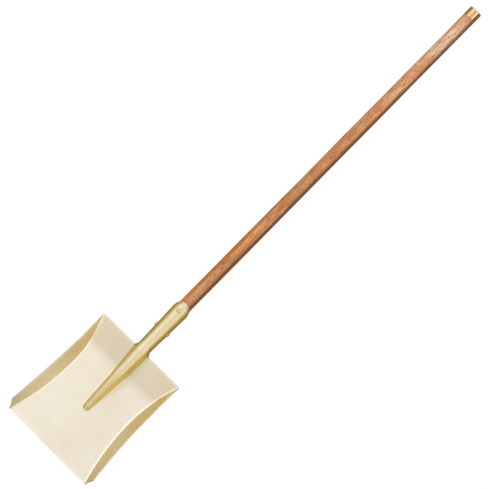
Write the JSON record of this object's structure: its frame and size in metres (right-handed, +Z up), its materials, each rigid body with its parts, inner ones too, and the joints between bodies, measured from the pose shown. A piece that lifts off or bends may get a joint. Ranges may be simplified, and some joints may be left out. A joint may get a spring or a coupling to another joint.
{
  "type": "square mouth shovel",
  "caption": "Long-handled square-mouth shovel with curved side walls, a centre ridge, a tapered riveted socket and a straight wooden handle with a brass end cap.",
  "frame": {"origin": "on the ground under the middle of the tool, which lies on its back on the blade's heel and the end cap", "axes": "+Y from the blade to the handle's end, +Z up out of the blade's working face, +X to the right seen from above with the handle away"},
  "size_m": [0.2674, 1.4003, 0.0461],
  "materials": {
    "blade_bronze": "satin, pale champagne gold",
    "socket_bronze": "satin, pale gold",
    "weld_bronze": "dressed weld",
    "rivet_bronze": "hammered",
    "handle_wood": "lacquered ash",
    "cap_brass": "polished"
  },
  "bodies": {
    "root": {"blade": "blade_bronze", "back_plate": "blade_bronze", "socket": "socket_bronze", "neck_weld": "weld_bronze", "handle": "handle_wood", "cross_rivet": "rivet_bronze", "tongue_nail": "rivet_bronze", "end_cap": "cap_brass"}
  },
  "joints": []
}
